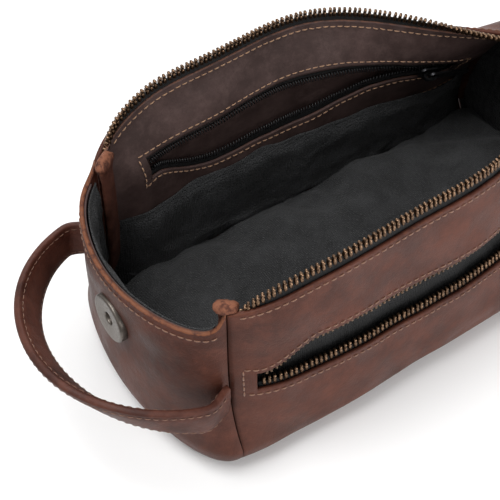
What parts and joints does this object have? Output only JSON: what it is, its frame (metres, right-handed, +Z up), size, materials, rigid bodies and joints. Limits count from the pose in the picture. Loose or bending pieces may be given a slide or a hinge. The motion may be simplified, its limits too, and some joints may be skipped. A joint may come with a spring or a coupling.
{
  "type": "wash bag",
  "caption": "Open zip-top leather wash bag with a side carry loop, magnetic snap, outside zip pocket and lined inside with a slip zip pocket.",
  "frame": {"origin": "centre of the flat base underside", "axes": "+X along the bag to the closed end of the zip, -Y the panel with the outside pocket, +Z up"},
  "size_m": [0.3443, 0.1432, 0.1285],
  "materials": {
    "shell_leather": "waxed pull-up leather",
    "facing_leather": "matt leather",
    "binding_leather": "worn leather edge",
    "strap_leather": "waxed pull-up leather",
    "lining": "fine ribbed cloth",
    "zip_tape": "woven tape",
    "zip_metal": "antique brass",
    "zip_coil": "moulded coil",
    "small_zip_metal": "black",
    "snap_metal": "gunmetal",
    "stiffener": "board"
  },
  "bodies": {
    "bag": {"front_panel": "shell_leather", "back_panel": "shell_leather", "base_panel": "shell_leather", "left_end_panel": "shell_leather", "right_end_panel": "shell_leather", "left_end_hem": "binding_leather", "right_end_hem": "binding_leather", "liner_front": "lining", "liner_back": "lining", "back_facing": "facing_leather", "liner_left": "lining", "liner_right": "lining", "base_board": "stiffener", "floor_pad": "lining", "binding_front_left": "binding_leather", "binding_back_left": "binding_leather", "binding_front_right": "binding_leather", "binding_back_right": "binding_leather", "main_tape_front": "zip_tape", "main_tape_back": "zip_tape", "main_teeth_front": "zip_metal", "main_teeth_back": "zip_metal", "main_stop_front": "zip_metal", "main_stop_back": "zip_metal", "main_end_tab": "shell_leather", "pocket_tape_upper": "zip_tape", "pocket_tape_lower": "zip_tape", "pocket_teeth_upper": "zip_metal", "pocket_teeth_lower": "zip_metal", "pocket_pouch": "lining", "inner_tape_upper": "zip_tape", "inner_tape_lower": "zip_tape", "inner_coil_upper": "zip_coil", "inner_coil_lower": "zip_coil", "inner_pouch": "lining", "snap_socket": "snap_metal", "snap_post": "snap_metal"},
    "main_slider_body": {"main_slider": "zip_metal"},
    "main_pull": {"main_puller": "zip_metal", "pull_tab": "shell_leather", "snap_stud": "snap_metal"},
    "pocket_slider_body": {"pocket_slider": "zip_metal"},
    "pocket_pull": {"pocket_puller": "zip_metal"},
    "inner_slider_body": {"inner_slider": "small_zip_metal"},
    "inner_pull": {"inner_puller": "small_zip_metal"},
    "carry_loop": {"handle_strap": "strap_leather"}
  },
  "joints": [
    {"name": "main_slider_slide", "type": "slide", "parent": "bag", "child": "main_slider_body", "axis": [0.9937, 0, -0.1122], "range_m": [0, 0.006]},
    {"name": "main_pull_swing", "type": "hinge", "parent": "main_slider_body", "child": "main_pull", "pos_m": [0.09921, 0, 0.11346], "axis": [0, 1, 0], "range_deg": [-110, 0]},
    {"name": "pocket_slider_slide", "type": "slide", "parent": "bag", "child": "pocket_slider_body", "axis": [0.9997, 0.0145, -0.0187], "range_m": [0, 0.005]},
    {"name": "pocket_pull_swing", "type": "hinge", "parent": "pocket_slider_body", "child": "pocket_pull", "pos_m": [0.08602, -0.06159, 0.06234], "axis": [0.0108, 0.4236, 0.9058], "range_deg": [-110, 0]},
    {"name": "inner_slider_slide", "type": "slide", "parent": "bag", "child": "inner_slider_body", "axis": [0.9625, -0.2221, -0.1558], "range_m": [0, 0.005]},
    {"name": "inner_pull_swing", "type": "hinge", "parent": "inner_slider_body", "child": "inner_pull", "pos_m": [0.06533, 0.03495, 0.079], "axis": [0.0265, -0.4945, 0.8687], "range_deg": [-110, 0]},
    {"name": "carry_loop_swing", "type": "hinge", "parent": "bag", "child": "carry_loop", "pos_m": [-0.125, 0, 0.053], "axis": [0, 1, 0], "range_deg": [-35, 35]}
  ]
}
